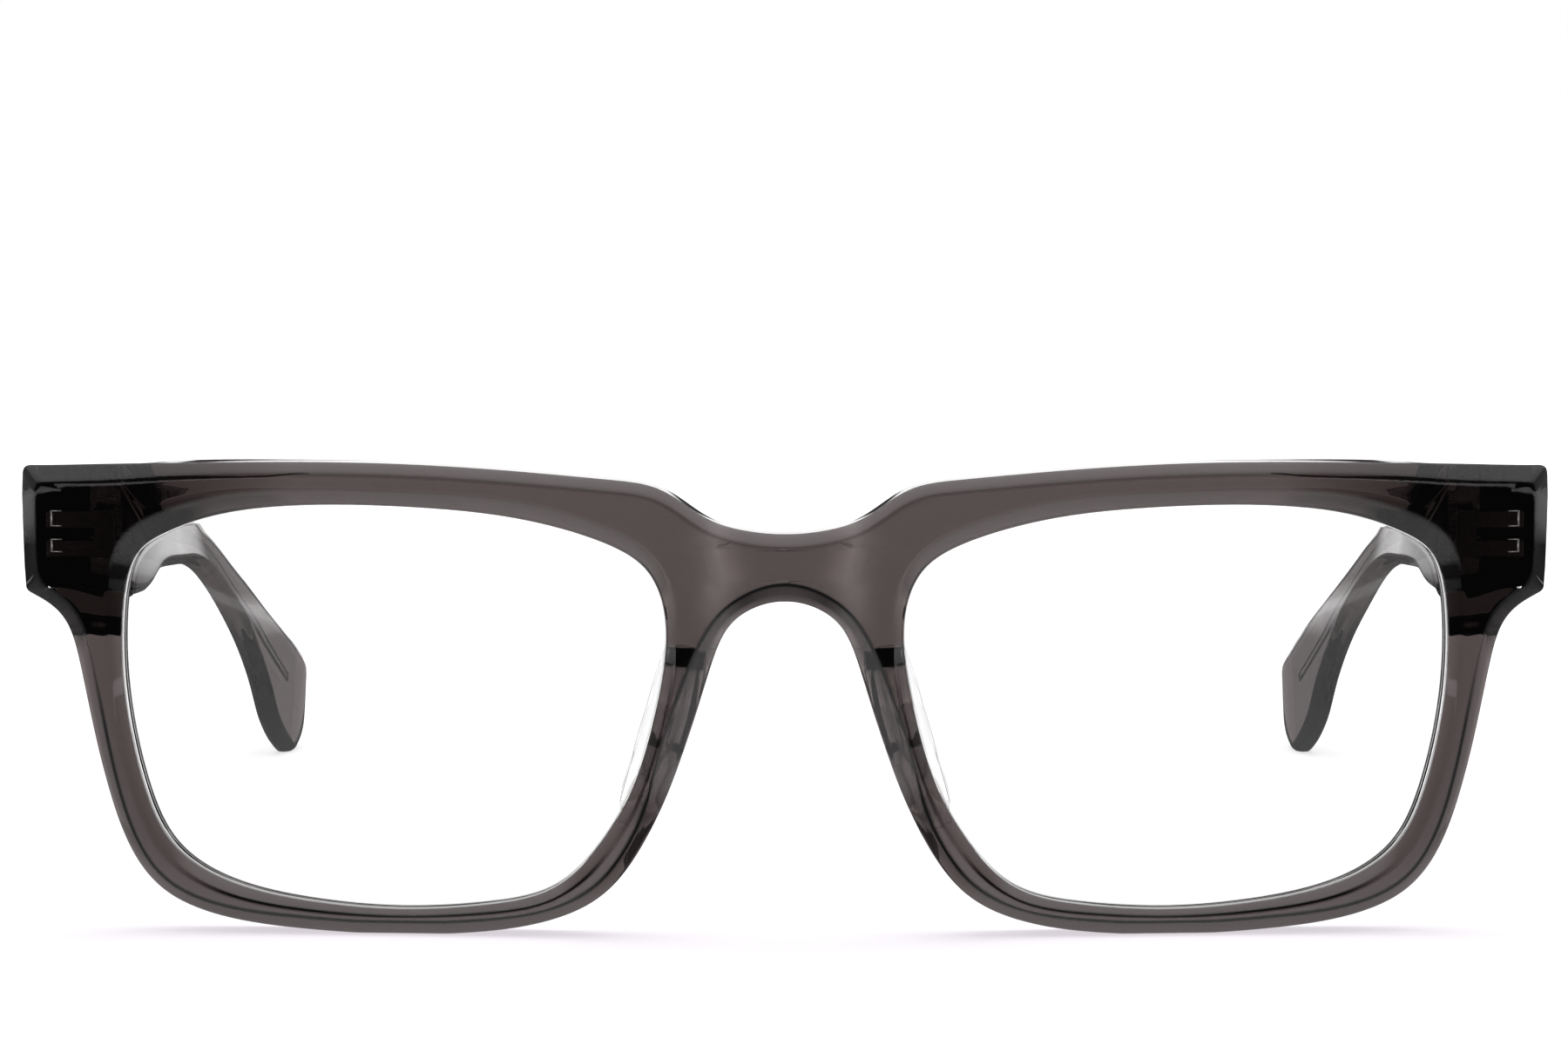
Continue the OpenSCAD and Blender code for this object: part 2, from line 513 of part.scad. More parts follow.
// Turns a temple piece, drawn straight open, to its set about the hinge axis.
module set_temple(side)
    centred() translate([side * axis_x, axis_y, 0]) rotate([0, 0, set_of(side)])
        translate([-side * axis_x, -axis_y, 0]) scale([side, 1, 1]) children();
module temple(side) {
    color(SMOKE) set_temple(side) difference() {
        temple_body();
        wire_body(seat_gap);
        translate([axis_x, axis_y, hinge_z]) plate(seat_gap);
    }
}
module temple_right() temple(-1);
module temple_left() temple(1);
module core_wire(side)
    color(STEEL) set_temple(side) wire_body();
module core_wire_right() core_wire(-1);
module core_wire_left() core_wire(1);

front();
lens_right();
lens_left();
nose_pad_right();
nose_pad_left();
front_hinge_right();
front_hinge_left();
temple_right();
temple_left();
core_wire_right();
core_wire_left();
temple_hinge_right();
temple_hinge_left();
hinge_screw_right();
hinge_screw_left();
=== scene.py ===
"""Looks of the rectangular eyeglasses: smoke grey plastic, clear lenses and pads, steel hinges.

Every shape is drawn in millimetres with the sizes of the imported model, and turned into metres in
its frame. The front is drawn flat, as across, up and back from its face, and bent afterwards.
"""

import math

import bmesh
import bpy
import numpy as np
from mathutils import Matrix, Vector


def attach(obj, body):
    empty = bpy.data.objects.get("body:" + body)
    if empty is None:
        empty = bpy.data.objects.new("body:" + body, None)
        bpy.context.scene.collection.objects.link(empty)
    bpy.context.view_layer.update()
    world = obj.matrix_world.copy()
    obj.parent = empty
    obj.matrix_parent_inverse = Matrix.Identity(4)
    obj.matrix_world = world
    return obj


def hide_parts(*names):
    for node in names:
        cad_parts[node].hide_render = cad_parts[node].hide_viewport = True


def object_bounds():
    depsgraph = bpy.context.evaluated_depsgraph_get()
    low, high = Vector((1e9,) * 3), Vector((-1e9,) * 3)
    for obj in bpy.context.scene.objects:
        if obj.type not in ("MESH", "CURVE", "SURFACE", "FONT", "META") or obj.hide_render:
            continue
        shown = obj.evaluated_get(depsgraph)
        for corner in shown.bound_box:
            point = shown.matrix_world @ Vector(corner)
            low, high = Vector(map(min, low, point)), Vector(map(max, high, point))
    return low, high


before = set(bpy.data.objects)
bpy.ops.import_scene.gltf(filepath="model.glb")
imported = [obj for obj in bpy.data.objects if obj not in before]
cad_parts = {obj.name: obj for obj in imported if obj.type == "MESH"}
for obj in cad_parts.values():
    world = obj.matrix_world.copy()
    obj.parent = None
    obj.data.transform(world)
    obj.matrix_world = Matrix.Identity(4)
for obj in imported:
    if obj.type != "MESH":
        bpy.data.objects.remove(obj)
CAD_BOX = [list(corner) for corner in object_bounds()]
MM = 0.001

# ---------------------------------------------------------------- camera
CAMERA_PLACE = (0, -0.57115, 0.0856)
CAMERA_DOWN = 5.29
FOCAL_LENGTH, SENSOR_W, SHIFT_X, NEAR = 123.2, 36, -0.0006, 0.01

camera_data = bpy.data.cameras.new("camera")
camera_data.lens = FOCAL_LENGTH
camera_data.sensor_width = SENSOR_W
camera_data.shift_x = SHIFT_X
camera_data.clip_start = NEAR
camera = bpy.data.objects.new("camera", camera_data)
camera.location = CAMERA_PLACE
camera.rotation_euler = (math.radians(90 - CAMERA_DOWN), 0, 0)
bpy.context.scene.collection.objects.link(camera)
bpy.context.scene.camera = camera

# ---------------------------------------------------------------- sizes, in millimetres
LENS_W, LENS_H, BRIDGE_W, LENS_T, LENS_CROWN = 52.8, 39.3, 21.4, 2.0, 1.2
FRONT_W, RIM_TOP, RIM_BOTTOM, RIM_T, BLOCK_T = 144.8, 3.5, 1.9, 4.5, 8.0
WRAP_R, GROOVE_D, PAD_D, END_W = 520.0, 0.55, 6.0, 8.8
TEMPLE_L, BEND_L, TEMPLE_EAR, TEMPLE_T, EAR_T = 134.7, 21.0, 36.7, 5.0, 2.6
TEMPLE_STRAIGHT = TEMPLE_L - BEND_L - TEMPLE_EAR
TEMPLE_SLOPE, EAR_SLOPE, EAR_TURN, WIRE_D = 6.5, 31.0, 10.0, 1.3
LOOP_D, LEFT_SET, SEAT_GAP, BUTT_GAP = 3.0, 1.0, 0.04, 0.2
SHIFT_Y = CAD_BOX[0][1] / MM
SIDES = {"right": -1, "left": 1}


def vec(*numbers):
    return np.array(numbers, float)


def unit(v):
    return v / np.linalg.norm(v)


def mix(a, b, f):
    return a + (b - a) * f


def lookup(x, table):
    """The value at x in a table of places and values, straight between its rows."""
    return float(np.interp(x, [row[0] for row in table], [row[1] for row in table]))


def ease(f):
    """Goes softly from 0 to 1 as f does, and stays there."""
    g = min(1.0, max(0.0, f))
    return g * g * (3 - 2 * g)


# The front is widest this far behind its face, and this far across when it is drawn flat.
WIDEST_BACK = 0.9
HALF_U = WRAP_R * math.asin(FRONT_W / 2 / (WRAP_R - WIDEST_BACK))


def across(x):
    """Fits a width that was drawn for a 72.6 mm half front to the sizes above."""
    if x < 0:
        return x
    lens_end = BRIDGE_W / 2 + LENS_W
    return lookup(x, [(0, 0), (10.7, BRIDGE_W / 2), (63.5, lens_end), (72.6, HALF_U)])


def up(z):
    """Fits a height that was drawn for a 44.7 mm front to the sizes above."""
    lens_top = RIM_BOTTOM + LENS_H
    return lookup(z, [(-9, -9), (0, 0), (1.9, RIM_BOTTOM), (41.2, lens_top),
                      (44.7, lens_top + RIM_TOP)])


def placed(rows):
    return [vec(across(x), up(z), bevel) for x, z, bevel in rows]


# Outlines of half the front: across, up, and the width of the bevel beside the line.
OPENING = placed([
    (12.2, 33.4, 1.3), (16, 36.8, 1.45), (24.6, 39.4, 1.6), (34.4, 40.5, 1.4), (44, 40.7, 1.5),
    (52.7, 39.9, 1.75), (58.8, 37.9, 1.95), (62, 35, 1.9), (63, 28.8, 1.3), (62.6, 21.3, 1.1),
    (60.9, 13.6, 0.95), (57.9, 7.9, 1.05), (52, 4.5, 1), (44, 2.9, 0.7), (36, 2.4, 0.6),
    (28.2, 2.9, 0.7), (21.6, 4.7, 0.95), (17, 9.4, 1.05), (14.2, 14.6, 1.05), (12.3, 21, 1.05),
    (11.2, 28.1, 1.15)])
BROW = placed([
    (-5, 38.7, 1.1), (0, 38.1, 1.15), (5, 38.7, 1.1), (8.4, 40.2, 1), (12, 42.4, 1),
    (17.5, 43.3, 1), (27, 44.1, 1), (40, 44.7, 1), (55, 44.6, 1.05), (63.6, 44.1, 1.1),
    (72.6, 43.8, 1.1)])
RIM = placed([
    (72.3, 32.3, 1.3), (69.9, 31, 1.3), (68.1, 28.8, 1.4), (67, 24.8, 1.45), (65.9, 19.3, 1.4),
    (64.6, 13.9, 1.25), (62.6, 8.2, 1.2), (59, 3.7, 1.2), (53, 1.3, 1.2), (45.5, 0.3, 1.3),
    (37, -0.1, 1.3), (29, 0.2, 1.3), (22.5, 1.3, 1.2), (16.6, 4.4, 1.2), (12.4, 10.6, 1.35),
    (10, 16.3, 2.15), (8, 22.3, 2.15), (6.5, 27, 1.7), (4.3, 30.3, 1.45), (0, 31.7, 1.7),
    (-4.3, 30.3, 1.45)])


# ---------------------------------------------------------------- smooth curves
HANDLE_ROUNDS = 8
RUN_STEP = 0.02


def pick(p, i, closed):
    """Point i, also beyond the ends of the row."""
    m = len(p)
    if closed:
        return p[i % m]
    if i < 0:
        return 2 * p[0] - p[1]
    if i >= m:
        return 2 * p[m - 1] - p[m - 2]
    return p[i]


def handles(p, closed):
    """Control points of a smooth curve through the points p."""
    c = p
    for _ in range(HANDLE_ROUNDS):
        c = [(6 * p[i] - pick(c, i - 1, closed) - pick(c, i + 1, closed)) / 4
             for i in range(len(p))]
    return c


def along(c, t, closed=False):
    """The curve's point at t, counted in control points."""
    i = math.floor(t)
    f = t - i
    g = 1 - f
    return (g**3 * pick(c, i - 1, closed)
            + (3 * f**3 - 6 * f**2 + 4) * pick(c, i, closed)
            + (3 * g**3 - 6 * g**2 + 4) * pick(c, i + 1, closed)
            + f**3 * pick(c, i + 2, closed)) / 6


def run(c, t, closed=False):
    """The curve's direction at t."""
    return unit((along(c, t + RUN_STEP, closed) - along(c, t - RUN_STEP, closed))[:2])


def left_of(v):
    return vec(-v[1], v[0])


opening_c, brow_c, rim_c = handles(OPENING, True), handles(BROW, False), handles(RIM, False)

# ---------------------------------------------------------------- front
STEPS = 10
CORNER_STEPS = 12
MIDDLE_STEPS = 12
CORNER_UP, CORNER_LOW = BROW[-1][:2], RIM[0][:2]
FACE_UP, FACE_LOW = CORNER_UP + vec(-1.6, -1.1), CORNER_LOW + vec(-1.6, 0.8)
BLOCK_U = HALF_U - END_W
BROW_N, RIM_N = len(BROW) - 2, len(RIM) - 2
# Places round the outline start with the brow; the rim starts here, and the middle follows it.
RIM_START = BROW_N + 3
MIDDLE_START = RIM_START + RIM_N
# The place on the lens opening that belongs to each place round the outline.
MATCH = [(0, 0.55), (3, 0.85), (4, 1.3), (6, 3.5), (7, 5.1), (8, 6.3), (9, 6.8), (10, 6.9),
         (11, 7.45), (12, 7.55), (13, 7.75), (14, 8.05), (15, 8.5), (16, 9.2), (17, 9.95),
         (18, 10.8), (19, 11.7), (20, 12.5), (22, 14), (24, 16), (26, 17.5), (28, 19.2),
         (30, 20.6), (31, 20.95), (32, 21.55)]
GROOVE_W, GROOVE_HALF, BACK_CUT = 2.4, 0.7, 0.35


def rounded(a, corner, b, f):
    """A point of the rounding from a to b about a corner."""
    return mix(mix(a, corner, f), mix(corner, b, f), f)


def toward(a, b, d):
    return a + d * unit(b - a)


def brow_point(t):
    """The front's outer edge at t along the brow, and the edge of its face there."""
    p, r = along(brow_c, t + 1), run(brow_c, t + 1)
    slide = 1.6 * (max(p[0], 0) / CORNER_UP[0]) ** 8
    return p[:2], p[:2] - p[2] * left_of(r) - slide * r


def rim_point(t):
    """The front's outer edge at t along the rim, and the edge of its face there."""
    p, r = along(rim_c, t), run(rim_c, max(t, 0.02))
    slide = 0.95 * (1 - t / 2) ** 2 if t < 2 else 0
    edge = vec(p[0], max(p[1], 0))
    return edge, edge - p[2] * left_of(r) + slide * r


MID_LOW, MID_HIGH = rim_point(RIM_N)[0][1], brow_point(0)[0][1]


def brow_thickness(x):
    return lookup(x, [(BLOCK_U - 16, RIM_T), (BLOCK_U - 2, RIM_T + 1.8), (BLOCK_U, BLOCK_T)])


def rim_thickness(t, z):
    return RIM_T if t > 6 else mix(RIM_T, BLOCK_T, ease((z - 28.1) / 1.2))


def stations():
    """Rows round half of the front: outer edge, face edge, place, thickness, on the middle."""
    rows = []

    def add(edges, place, thick, middle=False):
        outer, face = edges
        if middle:
            outer, face = vec(0, outer[1]), vec(0, face[1])
        rows.append((outer, face, place, thick, middle))

    for i in range(BROW_N * STEPS - 1):
        t = i / STEPS
        edges = brow_point(t)
        add(edges, t, brow_thickness(edges[0][0]), i == 0)
    before = brow_point(BROW_N - 0.2)
    for k in range(CORNER_STEPS + 1):
        f = k / CORNER_STEPS
        add([rounded(toward(CORNER_UP, before[0], 0.8), CORNER_UP,
                     toward(CORNER_UP, CORNER_LOW, 0.8), f),
             rounded(toward(FACE_UP, before[1], 1.3), FACE_UP, toward(FACE_UP, FACE_LOW, 1.3), f)],
            BROW_N + 0.1 + 0.8 * f, BLOCK_T)
    for f in (0.2, 0.4, 0.6, 0.8):
        add([mix(CORNER_UP, CORNER_LOW, f), mix(FACE_UP, FACE_LOW, f)], BROW_N + 1 + f, BLOCK_T)
    after = rim_point(0.3)
    for k in range(CORNER_STEPS + 1):
        f = k / CORNER_STEPS
        add([rounded(toward(CORNER_LOW, CORNER_UP, 0.6), CORNER_LOW,
                     toward(CORNER_LOW, after[0], 0.6), f),
             rounded(toward(FACE_LOW, FACE_UP, 1.4), FACE_LOW, toward(FACE_LOW, after[1], 0.9), f)],
            BROW_N + 2.1 + 0.5 * f, BLOCK_T)
    for i in range(5, RIM_N * STEPS + 1):
        t = i / STEPS
        edges = rim_point(t)
        add(edges, RIM_START + t, rim_thickness(t, edges[0][1]), i == RIM_N * STEPS)
    low, high = rim_point(RIM_N), brow_point(0)
    for k in range(1, MIDDLE_STEPS):
        f = k / MIDDLE_STEPS
        add([mix(low[0], high[0], f), mix(low[1], high[1], f)], MIDDLE_START + f, RIM_T, True)
    return rows


def bent(u, z, w):
    """Bends a point of the flat drawing round the wearer's face."""
    a = u / WRAP_R
    return vec((WRAP_R - w) * math.sin(a), WRAP_R - (WRAP_R - w) * math.cos(a), z)


# Roundness of the edges of the front's section: the face edge at the lens, the opening's front
# edge, the groove, the opening's back edge, its foot, the step of the end piece, the back's outer
# edge, the outer edge, the foot of the outer bevel and the face edge beside it.
ROUND = [0.3, 0.16, 0, 0, 0, 0.1, 0.1, 0.25, 0.14, 0.14, 0.25, 0.36]
EDGES = len(ROUND)
LENS_FACE_EDGE, BACK_EDGE, BEVEL_FOOT, OUTER_FACE_EDGE = 0, 8, 10, 11
ARC = (0, 0.34, 0.66, 1)
# Points put between an edge of the section and the next one, so that broad faces follow the bend.
BETWEEN = {6: 3, 7: 5, 10: 1, 11: 5}
# The share of a narrow face that its two roundings may take up, and of a side that one may.
NARROW_SHARE, SIDE_SHARE = 0.8, 0.4
# How far the end piece's top bevel is drawn on, and how far its back is lowered.
BEVEL_PUSH, BACK_DROP = 0.35, 0.2


def hollowed(p):
    """A point of the front with the two soft upright hollows sunk in the back of the bridge."""
    middle = lookup(p[1], [(30, 7.0), (33.3, 6.0), (37, 6.8)])
    width = lookup(p[1], [(30, 1.3), (33.3, 1.75), (37, 1.35)])
    fade = ease((p[1] - 27) / 6) * ease((42 - p[1]) / 6)
    depth = math.exp(-((p[0] - middle) / width) ** 2) * fade
    return vec(p[0], p[1], p[2] - depth * ease(p[2] - 1.5))


def tilted(p):
    """A point of the front with the end piece's top bevel drawn on upward, and its back lowered."""
    share = ease((p[0] - 54) / 12) * ease((p[1] - 42.3) / 1.3)
    back = ease((p[2] - 2) / 5)
    push = BEVEL_PUSH * share * ease(p[2] / 0.8) * (1 - back)
    return vec(p[0], p[1] + push - BACK_DROP * share * back, p[2] + push)


def painted_shade_strength(place, low):
    """How dark the front is painted, as shade, beside its outer bevel, across that bevel, and
    beside the lens.
    """
    along_rim = place - RIM_START
    if along_rim < 0:
        return 0.35 * (1 - ease(along_rim + 5)), 0, 0
    painted_bevel_shade = mix(0.42 * ease(along_rim) * ease((low - 5) / 5), 0.65, ease((along_rim - 13.5) / 3.5))
    painted_bevel_shade += 0.27 * ease((along_rim - 16.8) / 0.8) * (1 - ease((along_rim - 18.3) / 0.6))
    bottom = ease((7 - low) / 4) * (1 - ease((along_rim - 12.5) / 2))
    nose = 0.85 * ease((along_rim - 13) / 1.5) * ease((27 - low) / 4)
    return ease((along_rim - 2) / 2), painted_bevel_shade, max(bottom, nose)


def section(station):
    """The front's section at a station: its points, their painted shade, and where each edge
    starts.
    """
    outer, face, place, thick, middle = station
    t = lookup(place, MATCH)
    o, n = along(opening_c, t, True), left_of(run(opening_c, t, True))
    e, cut = o[:2], 0.35 + 0.3 * o[2]
    m = unit(outer - face)
    if middle:
        m = vec(0, mix(-1, 1, (outer[1] - MID_LOW) / (MID_HIGH - MID_LOW)))
    back, foot = outer - BACK_CUT * m, e + 0.3 * n
    shelf_x = BLOCK_U if foot[0] < BLOCK_U else foot[0] + 0.3
    f = (shelf_x - foot[0]) / (back[0] - foot[0]) if outer[0] > BLOCK_U + 0.5 else 0.4
    bevel_d = 0.45 + 0.4 * np.linalg.norm(outer - face)
    rows = [(e + o[2] * n, 0), (e, cut), (e, GROOVE_W - GROOVE_HALF), (e + GROOVE_D * n, GROOVE_W),
            (e, GROOVE_W + GROOVE_HALF), (e, RIM_T - 0.3), (foot, RIM_T),
            (mix(foot, back, f), thick), (back, thick), (outer, thick - BACK_CUT),
            (outer, bevel_d), (face, 0)]
    p = [vec(q[0], q[1], w) for q, w in rows]
    inward, away, rear = vec(-m[0], -m[1], 0), vec(n[0], n[1], 0), vec(0, 0, 1)
    before = {0: away, 5: -rear, 8: inward, 10: rear}
    after = {1: rear, 9: -rear, 11: inward}
    if thick < RIM_T + 0.3:
        after[6] = away
    on_middle = middle and place > MIDDLE_START
    # Painted shade beside the bevels and beside the lens, none on the middle.
    line, painted_bevel_shade, painted_lens_shade = (0, 0, 0) if on_middle else painted_shade_strength(place, outer[1])
    face_width = max(0.05, float((p[OUTER_FACE_EDGE] - p[LENS_FACE_EDGE]) @ away))
    slim = min(1, NARROW_SHARE * face_width / (ROUND[LENS_FACE_EDGE] + ROUND[OUTER_FACE_EDGE]))
    arcs = []
    for j in range(EDGES):
        if ROUND[j] == 0:
            arcs.append([p[j]])
            continue
        left, right = p[j - 1] - p[j], p[(j + 1) % EDGES] - p[j]
        reach_left = ROUND[j] * (slim if j == LENS_FACE_EDGE else 1)
        reach_right = ROUND[j] * (slim if j == OUTER_FACE_EDGE else 1)
        a = p[j] + before.get(j, unit(left)) * min(reach_left, SIDE_SHARE * np.linalg.norm(left))
        b = p[j] + after.get(j, unit(right)) * min(reach_right, SIDE_SHARE * np.linalg.norm(right))
        if on_middle and j in (BACK_EDGE, OUTER_FACE_EDGE):
            a = b = p[j]
        arcs.append([(1 - g) ** 2 * a + 2 * g * (1 - g) * p[j] + g * g * b for g in ARC])
    points, painted_shade, firsts = [], [], []
    for j in range(EDGES):
        firsts.append(len(points))
        # Painted shade on the rounded face edges and on the points across the bevel's foot.
        top = {OUTER_FACE_EDGE: line, LENS_FACE_EDGE: painted_lens_shade}.get(j, 0)
        points += arcs[j]
        painted_shade += [0] if ROUND[j] == 0 else [painted_bevel_shade if j == OUTER_FACE_EDGE else 0, top, top, 0]
        for k in range(BETWEEN.get(j, 0)):
            f = (k + 1) / (BETWEEN[j] + 1)
            points.append(mix(arcs[j][-1], arcs[(j + 1) % EDGES][0], f))
            painted_shade.append(painted_bevel_shade if j == BEVEL_FOOT else 0)
    return [tilted(hollowed(q)) for q in points], painted_shade, firsts


# ---------------------------------------------------------------- meshes
WELD = 2e-7


def in_metres(p):
    return (p[0] * MM, (p[1] + SHIFT_Y) * MM, min(p[2] * MM, CAD_BOX[1][2]))


def mesh_object(name, points, faces, painted_shade=None):
    """A mesh from points in millimetres, welded, faces turned outward and shaded smooth.

    The darkness given for each point is painted shade on its material, from 0 to 1.
    """
    mesh = bpy.data.meshes.new(name)
    bm = bmesh.new()
    layer = bm.verts.layers.float.new("painted_shade")
    verts = [bm.verts.new(in_metres(p)) for p in points]
    for vert, value in zip(verts, painted_shade or []):
        vert[layer] = value
    for f in faces:
        if len(set(f)) > 2:
            bm.faces.new([verts[i] for i in f])
    bmesh.ops.remove_doubles(bm, verts=bm.verts, dist=WELD)
    loose = [v for v in bm.verts if not v.link_faces]
    bmesh.ops.delete(bm, geom=loose, context="VERTS")
    bmesh.ops.recalc_face_normals(bm, faces=bm.faces)
    if bm.calc_volume(signed=True) < 0:
        bmesh.ops.reverse_faces(bm, faces=bm.faces)
    for f in bm.faces:
        f.smooth = True
    bm.to_mesh(mesh)
    bm.free()
    obj = bpy.data.objects.new(name, mesh)
    bpy.context.scene.collection.objects.link(obj)
    return obj


def weigh_normals(obj):
    """Keeps the broad faces flat in their shading beside the small rounded edges."""
    modifier = obj.modifiers.new("weighted normals", "WEIGHTED_NORMAL")
    modifier.mode = "FACE_AREA_WITH_ANGLE"
    modifier.weight = 60


def sharp_edges(obj, degrees):
    """Leaves edges that turn by more than some degrees sharp in their shading."""
    bm = bmesh.new()
    bm.from_mesh(obj.data)
    for e in bm.edges:
        if len(e.link_faces) == 2 and e.calc_face_angle() > math.radians(degrees):
            e.smooth = False
    bm.to_mesh(obj.data)
    bm.free()


def make_front():
    rows = stations()
    drawn = [section(s) for s in rows]
    firsts = drawn[0][2]
    n, m = len(rows), len(drawn[0][0])
    # On the middle both halves share these points, and no face is drawn between them.
    first_mid, last_mid = firsts[BACK_EDGE], firsts[OUTER_FACE_EDGE] + len(ARC) - 1
    points, painted_shade, faces = [], [], []
    for side in (1, -1):
        base = len(points)
        for ring, marks, _ in drawn:
            points += [bent(side * q[0], q[1], q[2]) for q in ring]
            painted_shade += marks
        for k in range(n):
            both = rows[k][4] and rows[(k + 1) % n][4]
            for j in range(m):
                if both and first_mid <= j < last_mid:
                    continue
                a, b = base + k * m, base + ((k + 1) % n) * m
                quad = [a + j, b + j, b + (j + 1) % m, a + (j + 1) % m]
                faces.append(quad if side > 0 else quad[::-1])
    obj = mesh_object("front_plastic", points, faces, painted_shade)
    weigh_normals(obj)
    return obj


# ---------------------------------------------------------------- lenses and nose pads
def ring_faces(rings, n):
    """Faces over rings of n points, with one point at each end after the last ring."""
    faces = [[k * n + i, k * n + (i + 1) % n, (k + 1) * n + (i + 1) % n, (k + 1) * n + i]
             for k in range(rings - 1) for i in range(n)]
    last = (rings - 1) * n
    faces += [[(i + 1) % n, i, rings * n] for i in range(n)]
    faces += [[last + i, last + (i + 1) % n, rings * n + 1] for i in range(n)]
    return faces


LENS_MID = vec(BRIDGE_W / 2 + LENS_W / 2, RIM_BOTTOM + LENS_H / 2)
LENS_POINTS = 168
LENS_RINGS = [0.1, 0.2, 0.3, 0.4, 0.5, 0.6, 0.7, 0.8, 0.88, 0.94, 0.98]
# A thin line of painted shade on the back of the lens along its edge: its width, the share of the
# way to the edge where it starts, and its darkness.
EDGE_LINE_W, EDGE_LINE_F, EDGE_PAINTED_SHADE = 0.3, 0.986, 0.9


def bulge(f):
    """How far back the lens's front lies at a share f of the way from its middle to its edge."""
    return GROOVE_W - LENS_T / 2 - LENS_CROWN * (1 - f * f)


def make_lens(name, side):
    n = LENS_POINTS
    groove_front, groove_back = GROOVE_W - GROOVE_HALF + 0.1, GROOVE_W + GROOVE_HALF - 0.1
    # Each ring: share of the way to the opening's edge, distance beyond that, and depth.
    rings = [(f, 0, bulge(f)) for f in LENS_RINGS]
    rings += [(1, -SEAT_GAP, bulge(1)), (1, -SEAT_GAP, groove_front),
              (1, GROOVE_D - SEAT_GAP, GROOVE_W), (1, -SEAT_GAP, groove_back),
              (1, -SEAT_GAP, bulge(1) + LENS_T)]
    edge = len(rings) - 1
    rings.append((1, -EDGE_LINE_W, bulge(EDGE_LINE_F) + LENS_T))
    rings += [(f, 0, bulge(f) + LENS_T) for f in reversed(LENS_RINGS)]
    # Painted shade on the ring at the back of the lens's edge.
    painted_shade = [EDGE_PAINTED_SHADE if k == edge else 0 for k in range(len(rings)) for _ in range(n)] + [0, 0]
    points = []
    for f, out, w in rings:
        for i in range(n):
            t = i * len(OPENING) / n
            o, d = along(opening_c, t, True)[:2], left_of(run(opening_c, t, True))
            p = LENS_MID + f * (o + out * d - LENS_MID)
            points.append(bent(side * p[0], p[1], w))
    for w in (bulge(0), bulge(0) + LENS_T):
        points.append(bent(side * LENS_MID[0], LENS_MID[1], w))
    obj = mesh_object(name, points, ring_faces(len(rings), n), painted_shade)
    sharp_edges(obj, 25)
    return obj


PAD_LOW, PAD_HIGH = RIM_BOTTOM + 8, RIM_BOTTOM + 25.2
# The pad's line across by height, its size along its length, and its section: across and back.
PAD_MIDDLE = [(9, 15), (11.5, 13.8), (16, 12), (21, 10.5), (25, 9.7), (28, 9.4)]
PAD_SIZE = [(0, 0.3), (0.04, 0.52), (0.1, 0.72), (0.2, 0.88), (0.32, 0.96), (0.5, 1), (0.7, 0.97),
            (0.84, 0.89), (0.93, 0.79), (1, 0.62)]
PAD_SECTION = [vec(*p) for p in [
    (1.5, 0, 0), (2.2, 0.28, 0), (2.9, 0.6, 0), (3.05, 0.86, 0), (2.5, 0.99, 0), (1.6, 0.95, 0),
    (0.5, 0.76, 0), (-0.5, 0.45, 0), (-1.3, 0.15, 0), (-1.5, 0, 0)]]
# Points across the bonded base, the middle two of which carry painted shade near the upper end.
PAD_BASE = (-1.42, -1.3, 0.9, 1.15)
PAD_PAINTED_SHADE_L = 2.1
pad_c = handles(PAD_SECTION, False)


def make_pad(name, side):
    size_c = handles([vec(a, b, 0) for a, b in PAD_SIZE], False)
    sizes = [along(size_c, i / 5)[:2] for i in range(5 * (len(PAD_SIZE) - 1) + 1)]
    low, high = sizes[0], sizes[-1]
    sizes = ([(low[0], low[1] * f) for f in (0.55, 0.85)] + sizes
             + [(high[0] + d, high[1] * f) for d, f in ((0.006, 0.96), (0.01, 0.86), (0.011, 0.7))])
    sizes = [(place, size * (0.55 + 0.45 * ease((place + 0.02) / 0.16))) for place, size in sizes]
    n = 6 * (len(PAD_SECTION) - 1) + 1
    points, painted_shade = [], []

    def at(z, q, size):
        lean = size if q[0] > 0 else 0.5 + size / 2
        depth = PAD_D * size * mix(0.12, 1, ease((z - PAD_LOW) / 8))
        u = across(lookup(z, PAD_MIDDLE)) + q[0] * lean
        return bent(side * u, z, RIM_T + SEAT_GAP + depth * max(0, q[1]))

    for place, size in sizes:
        z = mix(PAD_LOW, PAD_HIGH, min(place, 1))
        points += [at(z, along(pad_c, i / 6), size) for i in range(n)]
        points += [at(z, (x, 0), size) for x in PAD_BASE]
        # Painted shade on the base's middle points near the upper end.
        painted_shade += [0] * (n + 1) + [ease((z - PAD_HIGH + PAD_PAINTED_SHADE_L) / 0.3)] * 2 + [0]
    for place, size in (sizes[0], sizes[-1]):
        z = mix(PAD_LOW, PAD_HIGH, min(place, 1))
        points.append(at(z, (0.4, 0.3), size))
    obj = mesh_object(name, points, ring_faces(len(sizes), n + len(PAD_BASE)), painted_shade)
    sharp_edges(obj, 50)
    return obj


# ---------------------------------------------------------------- temples and core wires
# A temple's line lies LINE_IN from its inner face, and is summed in steps of STEP_L.
LINE_IN, SIDE_STEP, STEP_L = 1.9, 0.45, 2.0
TEMPLE_X = (WRAP_R - BLOCK_T) * math.sin(HALF_U / WRAP_R) - SIDE_STEP - TEMPLE_T + LINE_IN
TEMPLE_Z = (CORNER_UP[1] + CORNER_LOW[1]) / 2 - 0.1
HALF_H = (CORNER_UP[1] - CORNER_LOW[1]) / 2 - 0.1
EDGE_CUT = 0.9
AXIS_OFF = LOOP_D / 2 + 0.15
AXIS_X = TEMPLE_X - LINE_IN - AXIS_OFF


def back_y(x):
    """How far back the end pieces' back face lies at x."""
    return WRAP_R - math.sqrt((WRAP_R - BLOCK_T) ** 2 - x * x)


